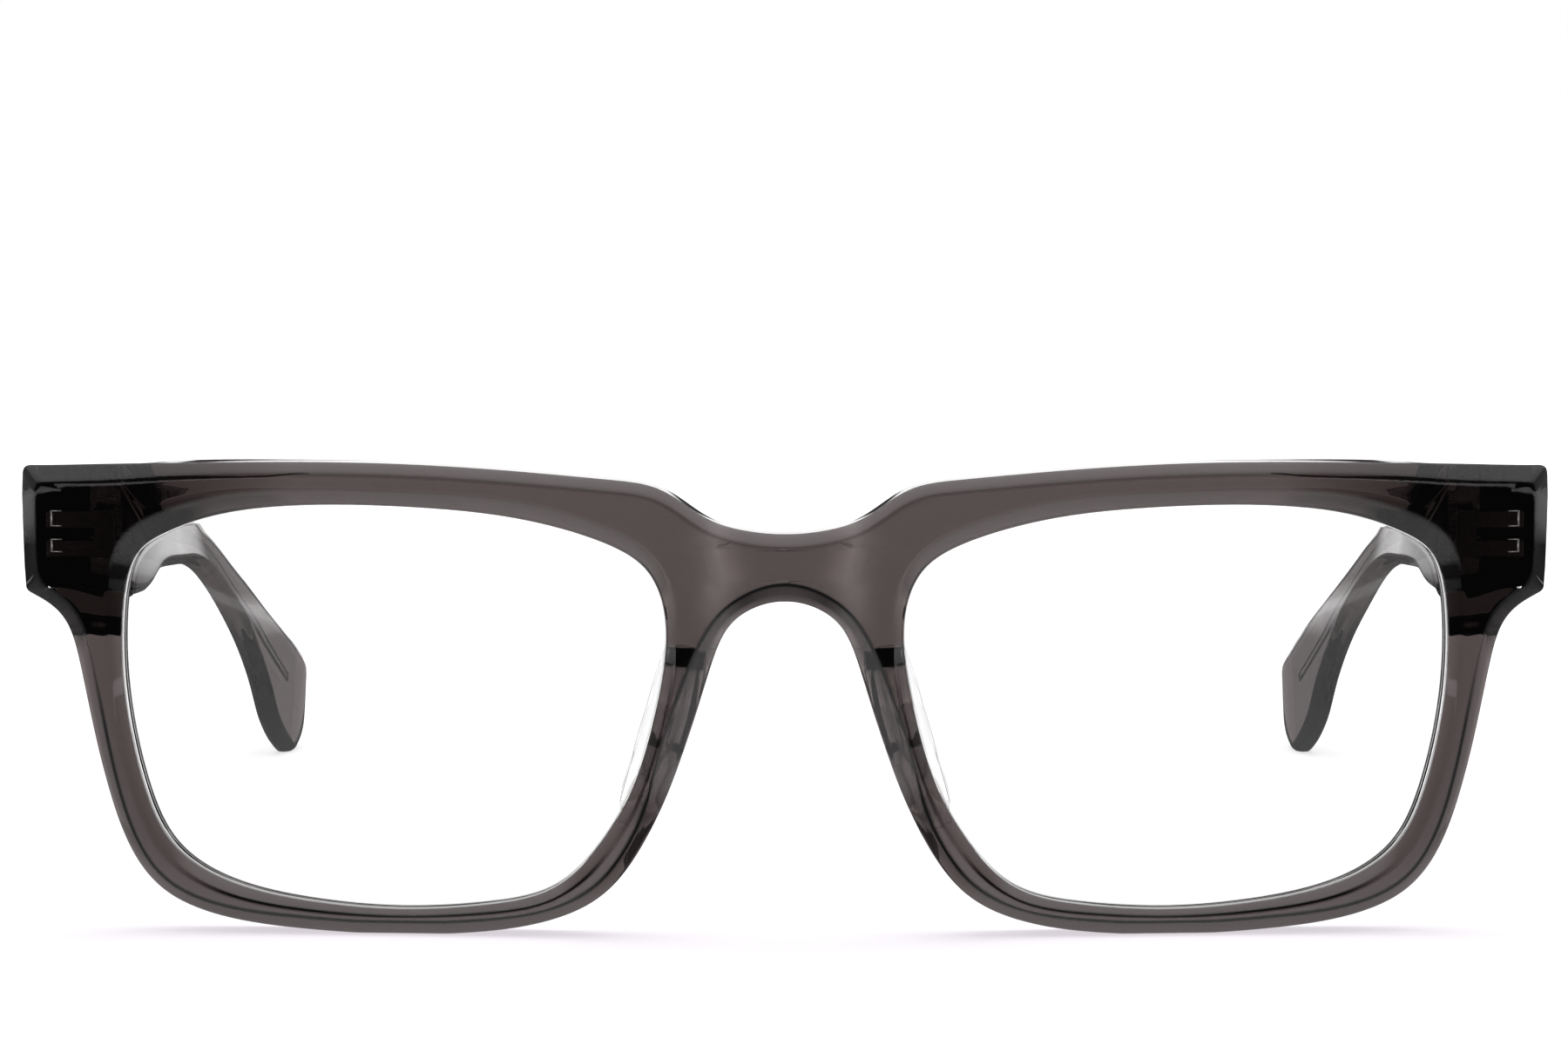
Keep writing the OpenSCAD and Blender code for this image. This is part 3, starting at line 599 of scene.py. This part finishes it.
AXIS_Y = back_y(AXIS_X) + AXIS_OFF + 0.02


def fall(s):
    """How steeply a temple falls at s along it."""
    bend = ease((s - TEMPLE_STRAIGHT) / BEND_L)
    return math.radians(TEMPLE_SLOPE + (EAR_SLOPE - TEMPLE_SLOPE) * bend)


def turn_in(s):
    """How far a temple turns towards the head at s."""
    return math.radians(EAR_TURN * ease((s - TEMPLE_STRAIGHT + 10) / (BEND_L + 6)))


def ahead(s):
    t, f = turn_in(s), fall(s)
    return vec(-math.sin(t), math.cos(t) * math.cos(f), -math.cos(t) * math.sin(f))


def outward(s):
    t, f = turn_in(s), fall(s)
    return vec(math.cos(t), math.sin(t) * math.cos(f), -math.sin(t) * math.sin(f))


def upward(s):
    return vec(0, math.sin(fall(s)), math.cos(fall(s)))


LINE = [vec(TEMPLE_X, back_y(TEMPLE_X) + BUTT_GAP, TEMPLE_Z)]
while len(LINE) * STEP_L <= TEMPLE_L + 0.01:
    LINE.append(LINE[-1] + STEP_L * ahead((len(LINE) - 0.5) * STEP_L))


def line_at(s):
    k = min(len(LINE) - 2, math.floor(s / STEP_L))
    return LINE[k] + (s - k * STEP_L) * ahead(s)


def behind(s):
    """Fits a place drawn for one temple, from the end of its straight part, to the sizes."""
    return lookup(s, [(-77, -TEMPLE_STRAIGHT), (0, 0), (57.7, TEMPLE_L - TEMPLE_STRAIGHT)])


def curve_of(rows):
    c = handles([vec(a, b, 0) for a, b in rows], False)
    points = [along(c, i / 4)[:2] for i in range(4 * (len(rows) - 1) + 1)]
    return [(behind(x), height) for x, height in points]


# Height above and below the line, by place behind the straight part.
ABOVE = curve_of([(-77, HALF_H), (-64, 5.4), (-48, 4.4), (-30, 3.6), (-12, 3), (4, 2.5),
                  (16, 2.6), (27, 3.6), (37, 4.5), (47, 5.1)])
BELOW = curve_of([(-77, HALF_H), (-62, 5.9), (-48, 6.4), (-39, 6.6), (-31, 6), (-24, 4.5),
                  (-15, 3.5), (0, 3), (15, 2.3), (27, 2.3), (34, 3.1), (40, 5), (44, 7.3),
                  (47, 8.2)])
PADDLE_L, EAR_IN = 22, EAR_T / 2 + 0.1


def thickness_in(s):
    return lookup(s, [(0, LINE_IN), (TEMPLE_STRAIGHT, LINE_IN), (TEMPLE_L - PADDLE_L, EAR_IN)])


def thickness_out(s):
    return lookup(s, [(0, TEMPLE_T - LINE_IN), (TEMPLE_STRAIGHT, EAR_T / 2),
                      (TEMPLE_L - PADDLE_L, EAR_T - EAR_IN)])


# Last sections, round the paddle's end: place, height above and below the line, and shrink.
TIP = [(47, 5.1, 8.2, 0), (49, 5.3, 8.4, 0), (51, 5.4, 8.35, 0), (52.6, 5.5, 8.15, 0),
       (53.5, 5.55, 7.5, 0.03), (54.8, 5.6, 6.1, 0.08), (56, 5.7, 4.4, 0.17),
       (56.8, 5.6, 2.7, 0.3), (57.4, 5.3, 0.8, 0.45), (57.7, 4.9, -0.7, 0.6)]
TEMPLE_ROUND, TEMPLE_SHARE = 0.42, 0.45
# Up to here the temple's end follows the curved back of the end piece.
BUTT_L = 0.31


def temple_ring(s, a, b, shrink=0.0):
    """Section of a temple at s, reaching a above and b below its line, with rounded edges."""
    g, h, c = thickness_in(s) - shrink, thickness_out(s) - shrink, EDGE_CUT
    rows = [(h - c, a), (h, a - c), (h, c - b), (h - c, -b),
            (c - g, -b), (-g, c - b), (-g, a - c), (c - g, a)]
    p = [vec(*row) for row in rows]
    out = []
    for j in range(8):
        left, right = p[j - 1] - p[j], p[(j + 1) % 8] - p[j]
        q = p[j] + unit(left) * min(TEMPLE_ROUND, TEMPLE_SHARE * np.linalg.norm(left))
        r = p[j] + unit(right) * min(TEMPLE_ROUND, TEMPLE_SHARE * np.linalg.norm(right))
        out += [(1 - f) ** 2 * q + 2 * f * (1 - f) * p[j] + f * f * r for f in ARC]
    ring = []
    for q in out:
        w = line_at(s) + q[0] * outward(s) + q[1] * upward(s)
        y = back_y(w[0]) + BUTT_GAP + s if s < BUTT_L else w[1]
        ring.append(vec(w[0], y, max(w[2], 0)))
    return ring


def opened(p, side):
    """Turns a temple's point to its set about the hinge axis."""
    a = -math.radians(LEFT_SET) if side > 0 else 0.0
    x, y = side * (p[0] - AXIS_X), p[1] - AXIS_Y
    return vec(side * AXIS_X + x * math.cos(a) - y * math.sin(a),
               AXIS_Y + x * math.sin(a) + y * math.cos(a), p[2])


def make_temple(name, side):
    rings = []
    for s, shrink in ((0, 0.3), (0.04, 0.14), (0.12, 0.04), (0.3, 0)):
        rings.append(temple_ring(s, HALF_H - shrink, HALF_H - shrink, shrink / 2))
    s = 1.0
    while s < TEMPLE_STRAIGHT + behind(TIP[0][0]) - 0.5:
        place = s - TEMPLE_STRAIGHT
        rings.append(temple_ring(s, lookup(place, ABOVE), lookup(place, BELOW)))
        s += 1.0
    tip_c = handles([vec(*q) for q in TIP], False)
    for i in range(4 * (len(TIP) - 1) + 1):
        q = along(tip_c, i / 4)
        rings.append(temple_ring(TEMPLE_STRAIGHT + behind(q[0]), q[1], q[2], max(0, q[3])))
    n = len(rings[0])
    points = [opened(p, side) for ring in rings for p in ring]
    points += [opened(sum(rings[0]) / n, side), opened(sum(rings[-1]) / n, side)]
    obj = mesh_object(name, points, ring_faces(len(rings), n))
    weigh_normals(obj)
    return obj


WIRE_START, WIRE_END = 13.0, TEMPLE_L - 9


def make_wire(name, side):
    n, steps, r = 20, 120, WIRE_D / 2
    ends = ((0, 0.6), (0.02, 0.85), (0.04, 0.97))
    places = ([(WIRE_START + d, f) for d, f in ends]
              + [(mix(WIRE_START, WIRE_END, k / steps), 1) for k in range(1, steps)]
              + [(WIRE_END - d, f) for d, f in reversed(ends)])
    points = []
    for s, f in places:
        for i in range(n):
            g = 2 * math.pi * i / n
            spoke = math.cos(g) * outward(s) + math.sin(g) * upward(s)
            points.append(opened(line_at(s) + r * f * spoke, side))
    points += [opened(line_at(WIRE_START), side), opened(line_at(WIRE_END), side)]
    return mesh_object(name, points, ring_faces(len(places), n))


# ---------------------------------------------------------------- hinges
METAL_WELD, FLAT_DEGREES, BEVEL_DEGREES = 1e-6, 1.5, 35


def make_metal(name, node, width):
    """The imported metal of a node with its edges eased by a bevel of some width."""
    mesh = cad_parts[node].data.copy()
    mesh.name = name
    mesh.materials.clear()
    bm = bmesh.new()
    bm.from_mesh(mesh)
    bmesh.ops.remove_doubles(bm, verts=bm.verts, dist=METAL_WELD)
    bmesh.ops.dissolve_limit(bm, angle_limit=math.radians(FLAT_DEGREES), verts=bm.verts,
                             edges=bm.edges)
    for f in bm.faces:
        f.smooth = True
    bm.to_mesh(mesh)
    bm.free()
    obj = bpy.data.objects.new(name, mesh)
    bpy.context.scene.collection.objects.link(obj)
    bevel = obj.modifiers.new("eased edges", "BEVEL")
    bevel.width, bevel.segments, bevel.limit_method = width * MM, 3, "ANGLE"
    bevel.angle_limit = math.radians(BEVEL_DEGREES)
    weigh_normals(obj)
    return obj


# The brackets at the hinge ends: lowest and highest point of each, the inner end, the inner and
# outer side of the upright, the thickness of the arms, and the depths behind the front's face.
TONGUES = ((36.05, 37.3), (38.5, 40.0))
TONGUE_IN, UPRIGHT_IN, UPRIGHT_OUT, ARM_T = 68.6, 69.5, 69.66, 0.08
TONGUE_FRONT, TONGUE_BACK = 0.35, 0.55


def make_tongues(name, side):
    """Bright strips at the edges of the hinge's two tongues, just behind the face of the end piece:
    a painted highlight.
    """
    bars = []
    for low, high in TONGUES:
        bars += [(UPRIGHT_IN, UPRIGHT_OUT, low, high), (TONGUE_IN, UPRIGHT_IN, high - ARM_T, high),
                 (TONGUE_IN, UPRIGHT_IN, low, low + ARM_T)]
    points, faces = [], []
    for inner, outer, low, high in bars:
        k = len(points)
        for u, back in ((inner, TONGUE_FRONT), (outer, TONGUE_FRONT), (outer, TONGUE_BACK),
                        (inner, TONGUE_BACK)):
            points += [bent(side * u, low, back), bent(side * u, high, back)]
        faces += [[k + 2 * i, k + 2 * i + 1, k + (2 * i + 3) % 8, k + (2 * i + 2) % 8]
                  for i in range(4)]
        faces += [[k, k + 2, k + 4, k + 6], [k + 7, k + 5, k + 3, k + 1]]
    return mesh_object(name, points, faces)


# ---------------------------------------------------------------- materials
def new_material(name):
    material = bpy.data.materials.new(name)
    material.use_nodes = True
    tree = material.node_tree
    tree.nodes.clear()
    return material, tree, tree.nodes.new("ShaderNodeOutputMaterial")


def linked(tree, kind, inputs=None, **settings):
    """A node with its settings, and each input linked to a socket or set to a value."""
    node = tree.nodes.new(kind)
    for key, value in settings.items():
        setattr(node, key, value)
    for key, value in (inputs or {}).items():
        if isinstance(value, bpy.types.NodeSocket):
            tree.links.new(value, node.inputs[key])
        else:
            node.inputs[key].default_value = value
    return node


def maths(tree, kind, a, b=None):
    inputs = {0: a} if b is None else {0: a, 1: b}
    return linked(tree, "ShaderNodeMath", inputs, operation=kind).outputs[0]


def noise(tree, place, scale, detail):
    inputs = {"Vector": place, "Scale": scale, "Detail": detail}
    return linked(tree, "ShaderNodeTexNoise", inputs).outputs["Fac"]


def ranged(tree, value, low, high, start=0.0, end=1.0):
    """Goes from low to high as a value goes from start to end."""
    return linked(tree, "ShaderNodeMapRange", {
        "Value": value, "From Min": start, "From Max": end, "To Min": low, "To Max": high,
    }).outputs[0]


def shades(tree, share, colour, base=(0, 0, 0, 1)):
    """A colour between a base, black unless it is given, and another one, by share."""
    inputs = {0: share, 6: base, 7: colour}
    return linked(tree, "ShaderNodeMix", inputs, data_type="RGBA").outputs[2]


def clear_plastic(name, ior, rough, tint, shade, absorb=None, density=0):
    """Polished see-through plastic: handling marks, faint clouds, colour held in its depth, and
    painted shade.
    """
    material, tree, out = new_material(name)
    place = linked(tree, "ShaderNodeTexCoord").outputs["Object"]
    marks = noise(tree, place, 300, 1)
    clouds = ranged(tree, noise(tree, place, 260, 4), 0.985, 1.0)
    # Painted shade: the dark lines and patches stored on the mesh darken the plastic's colour.
    lines = linked(tree, "ShaderNodeAttribute", attribute_name="painted_shade").outputs["Fac"]
    shaded = maths(tree, "MULTIPLY", clouds, maths(tree, "SUBTRACT", 1.0, lines))
    shader = linked(tree, "ShaderNodeBsdfPrincipled", {
        "Base Color": shades(tree, shaded, tint), "IOR": ior, "Transmission Weight": 1.0,
        "Roughness": ranged(tree, marks, rough, rough * 1.4, 0.35, 0.65)})
    through = linked(tree, "ShaderNodeBsdfTransparent", {"Color": shade})
    shadow = linked(tree, "ShaderNodeLightPath").outputs["Is Shadow Ray"]
    both = linked(tree, "ShaderNodeMixShader", {
        0: shadow, 1: shader.outputs[0], 2: through.outputs[0]})
    tree.links.new(both.outputs[0], out.inputs["Surface"])
    if absorb:
        volume = linked(tree, "ShaderNodeVolumeAbsorption", {"Color": absorb, "Density": density})
        tree.links.new(volume.outputs[0], out.inputs["Volume"])
    return material


def steel(name, colour, rough, brushed, painted_glow=0.0):
    """Satin steel: fine drawn lines, a little unevenness in its gloss, and a painted glow where
    given.
    """
    material, tree, out = new_material(name)
    place = linked(tree, "ShaderNodeTexCoord").outputs["Object"]
    stretched = linked(tree, "ShaderNodeMapping", {"Vector": place, "Scale": brushed}).outputs[0]
    lines = noise(tree, stretched, 1200, 4)
    spots = noise(tree, place, 700, 3)
    shade = ranged(tree, lines, 0.86, 1.0, 0.3, 0.7)
    bump = linked(tree, "ShaderNodeBump", {"Height": lines, "Strength": 0.25, "Distance": 0.00002})
    shader = linked(tree, "ShaderNodeBsdfPrincipled", {
        "Base Color": shades(tree, shade, colour), "Metallic": 1.0, "Normal": bump.outputs[0],
        "Roughness": ranged(tree, spots, rough, rough + 0.14, 0.3, 0.7)})
    # Painted glow: the steel gives off light of its own colour, though it is no lamp.
    shader.inputs["Emission Color"].default_value = colour
    shader.inputs["Emission Strength"].default_value = painted_glow
    tree.links.new(shader.outputs[0], out.inputs["Surface"])
    return material


WHITE = (1, 1, 1, 1)
SMOKE_DEPTH, SMOKE_DENSITY = (0.16, 0.085, 0.08, 1), 690
SMOKE = clear_plastic("smoke acetate", 1.48, 0.012, WHITE, (0.9, 0.88, 0.89, 1),
                      SMOKE_DEPTH, SMOKE_DENSITY)
LENS = clear_plastic("lens plastic", 1.5, 0.0, WHITE, (0.97, 0.97, 0.97, 1))
PAD = clear_plastic("pad plastic", 1.4, 0.02, (0.99, 0.99, 0.99, 1), (0.93, 0.93, 0.93, 1))
HINGE = steel("hinge steel", (0.66, 0.65, 0.63, 1), 0.22, (1, 1, 12))
# The tongue steel is lighter than the hinge steel and glows faintly: painted highlight and painted
# glow.
GLOWING_TONGUE_STEEL = steel("glowing tongue steel", (0.75, 0.74, 0.72, 1), 0.3, (1, 1, 12), 0.12)
WIRE = steel("wire steel", (0.7, 0.69, 0.67, 1), 0.3, (1, 0.1, 1))


def dress(obj, material, body, slot, *nodes):
    """Gives a piece its material, the body it rides on and the nodes it replaces; slot is not used.
    """
    obj.data.materials.clear()
    obj.data.materials.append(material)
    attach(obj, body)
    if nodes:
        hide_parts(*nodes)


def dress_metal(node, width, body):
    dress(make_metal(node + "_steel", node, width), HINGE, body, "hinge_steel", node)


dress(make_front(), SMOKE, "front_frame", "smoke_plastic", "front")
for word, side in SIDES.items():
    temple = word + "_temple"
    for make, node, end, material, body, slot in (
            (make_lens, "lens_" + word, "_clear", LENS, "front_frame", "lens_plastic"),
            (make_pad, "nose_pad_" + word, "_clear", PAD, "front_frame", "pad_plastic"),
            (make_temple, "temple_" + word, "_plastic", SMOKE, temple, "smoke_plastic"),
            (make_wire, "core_wire_" + word, "_steel", WIRE, temple, "wire_steel")):
        dress(make(node + end, side), material, body, slot, node)
    dress_metal("front_hinge_" + word, 0.12, "front_frame")
    dress(make_tongues("tongue_ends_" + word + "_steel", side), GLOWING_TONGUE_STEEL, "front_frame",
          "hinge_steel")
    dress_metal("temple_hinge_" + word, 0.1, temple)
    dress_metal("hinge_screw_" + word, 0.06, "front_frame")


# ---------------------------------------------------------------- studio
PLAIN_LIGHT = 0.35
FLOOR_HALF, FLOOR_GAP = 6, 0.00002


def highest(tree, first, *others):
    """The highest of these values."""
    for other in others:
        first = maths(tree, "MAXIMUM", first, other)
    return first


def steps_of(tree, value, *stops):
    """Strength along a value between 0 and 1, straight between the stops."""
    node = linked(tree, "ShaderNodeValToRGB", {0: value})
    ramp = node.color_ramp
    for place, strength in stops[1:-1]:
        ramp.elements.new(place)
    for element, (place, strength) in zip(ramp.elements, stops):
        element.position, element.color = place, (strength, strength, strength, 1)
    return linked(tree, "ShaderNodeRGBToBW", {0: node.outputs[0]}).outputs[0]


def mixed(tree, f, a, b):
    return linked(tree, "ShaderNodeMix", {0: f, 2: a, 3: b}, data_type="FLOAT").outputs[0]


def make_world():
    """White for the camera, plain for light, and a studio for what shines or shows through."""
    world = bpy.data.worlds.new("studio")
    bpy.context.scene.world = world
    world.use_nodes = True
    tree = world.node_tree
    tree.nodes.clear()
    out = tree.nodes.new("ShaderNodeOutputWorld")
    path = linked(tree, "ShaderNodeLightPath").outputs
    way = linked(tree, "ShaderNodeTexCoord").outputs["Generated"]
    axes = linked(tree, "ShaderNodeSeparateXYZ", {0: way}).outputs
    # turn is 0 straight behind the object and 1 in front of it; height is 1 overhead.
    turn = maths(tree, "ABSOLUTE", maths(tree, "ARCTAN2", axes["X"], axes["Y"]))
    turn = maths(tree, "DIVIDE", turn, math.pi)
    height = maths(tree, "DIVIDE", maths(tree, "ARCSINE", axes["Z"]), math.pi / 2)
    behind_it = steps_of(tree, turn, (0, 1), (0.1, 1), (0.14, 0), (1, 0))
    shown = steps_of(tree, height, (0, 1), (0.02, 1), (0.028, 0.06), (0.048, 0.06), (0.053, 1.6),
                     (0.1, 1.6), (0.15, 0), (1, 0))
    seen_through = steps_of(tree, height, (0, 1), (0.1, 1), (0.15, 0.7), (0.35, 0.7), (0.45, 0),
                            (1, 0))
    through = path["Is Transmission Ray"]
    backdrop = mixed(tree, through, maths(tree, "MULTIPLY", behind_it, shown), seen_through)
    beside = steps_of(tree, turn, (0, 0), (0.25, 0), (0.33, 0.5), (0.6, 0.5), (0.7, 0), (1, 0))
    low_down = steps_of(tree, height, (0, 1), (0.4, 1), (0.5, 0), (1, 0))
    sides = maths(tree, "MULTIPLY", beside, low_down)
    above = steps_of(tree, height, (0, 0.04), (0.36, 0.1), (0.48, 1.2), (1, 1.6))
    room = highest(tree, backdrop, sides, above)
    mirrored = highest(tree, path["Is Glossy Ray"], through)
    strength = mixed(tree, path["Is Camera Ray"], mixed(tree, mirrored, PLAIN_LIGHT, room), 1.0)
    background = linked(tree, "ShaderNodeBackground", {"Color": WHITE, "Strength": strength})
    tree.links.new(background.outputs[0], out.inputs[0])


def floor_paper():
    """Pale paper, white to the camera and through clear plastic, with dark strips in gloss."""
    material, tree, out = new_material("floor paper")
    path = linked(tree, "ShaderNodeLightPath").outputs
    camera_ray, glossy, through = (path[name] for name in (
        "Is Camera Ray", "Is Glossy Ray", "Is Transmission Ray"))
    place = linked(tree, "ShaderNodeTexCoord").outputs["Object"]
    axes = linked(tree, "ShaderNodeSeparateXYZ", {0: place}).outputs
    grain = ranged(tree, noise(tree, place, 400, 3), 0.97, 1.0)
    diffuse = linked(tree, "ShaderNodeBsdfDiffuse", {
        "Color": shades(tree, grain, (0.5, 0.5, 0.51, 1))})
    reach = linked(tree, "ShaderNodeVectorMath", {0: place}, operation="LENGTH").outputs["Value"]
    seen = highest(tree, camera_ray, glossy, through)
    glow = linked(tree, "ShaderNodeEmission", {
        "Color": shades(tree, camera_ray, (0.98, 0.93, 1.0, 1), WHITE),
        "Strength": maths(tree, "MULTIPLY", seen, ranged(tree, reach, 0.6, 1.0, 0.2, 0.7))})
    sheet = linked(tree, "ShaderNodeAddShader", {0: diffuse.outputs[0], 1: glow.outputs[0]})
    # What gloss sees of the floor: far goes from 0 before the object to 1 behind it.
    far = ranged(tree, axes["Y"], 0.0, 1.0, -0.5, 0.5)
    aside = maths(tree, "ABSOLUTE", axes["X"])
    front_y = steps_of(tree, far, (0, 0), (0.26, 0), (0.4, 1), (0.44, 1), (0.5, 0), (1, 0))
    front_x = steps_of(tree, aside, (0, 0.15), (0.012, 0.15), (0.02, 1), (0.05, 1), (0.08, 0.45),
                       (0.25, 0.2), (1, 0.2))
    rear_y = steps_of(tree, far, (0, 0), (0.46, 0), (0.5, 0.02), (0.74, 0.02), (0.79, 0.85),
                      (1, 0.85))
    rear_x = steps_of(tree, aside, (0, 1), (0.028, 1), (0.06, 0.15), (1, 0.15))
    side_x = steps_of(tree, aside, (0, 0), (0.36, 0), (0.44, 1), (1, 1))
    mirror = maths(tree, "ADD", maths(tree, "MULTIPLY", front_y, front_x),
                   maths(tree, "MULTIPLY", rear_y, rear_x))
    inside = mixed(tree, through, highest(tree, mirror, side_x), 1.0)
    dim = linked(tree, "ShaderNodeEmission", {"Color": WHITE, "Strength": 0.04})
    both = linked(tree, "ShaderNodeMixShader", {
        0: mixed(tree, highest(tree, glossy, through), 1.0, inside),
        1: dim.outputs[0], 2: sheet.outputs[0]})
    tree.links.new(both.outputs[0], out.inputs["Surface"])
    return material


def make_floor():
    mesh = bpy.data.meshes.new("floor")
    bm = bmesh.new()
    bmesh.ops.create_grid(bm, x_segments=8, y_segments=8, size=FLOOR_HALF)
    bm.to_mesh(mesh)
    bm.free()
    floor = bpy.data.objects.new("floor", mesh)
    bpy.context.scene.collection.objects.link(floor)
    floor.location = (0, 0, -FLOOR_GAP)
    mesh.materials.append(floor_paper())


def softbox(name, place, aim, size, power):
    """A lamp that lights the object but doesn't show in its gloss or through it."""
    data = bpy.data.lights.new(name, "AREA")
    data.shape, data.size, data.size_y, data.energy = "RECTANGLE", size[0], size[1], power
    lamp = bpy.data.objects.new(name, data)
    lamp.location = place
    away = np.array(aim, float) - np.array(place, float)
    yaw, pitch = math.atan2(away[1], away[0]), math.asin(away[2] / np.linalg.norm(away))
    lamp.rotation_euler = (math.pi / 2 + pitch, 0, yaw - math.pi / 2)
    lamp.visible_glossy = lamp.visible_transmission = False
    bpy.context.scene.collection.objects.link(lamp)


make_world()
make_floor()
softbox("lamp_above", (0, 0.25, 1.1), (0, 0, 0), (1.3, 0.9), 12)
softbox("lamp_left", (-1.0, 0.2, 0.6), (0, 0, 0.02), (0.7, 0.9), 4)
softbox("lamp_right", (1.0, 0.2, 0.6), (0, 0, 0.02), (0.7, 0.9), 4)

bpy.context.scene.view_settings.view_transform = "Standard"
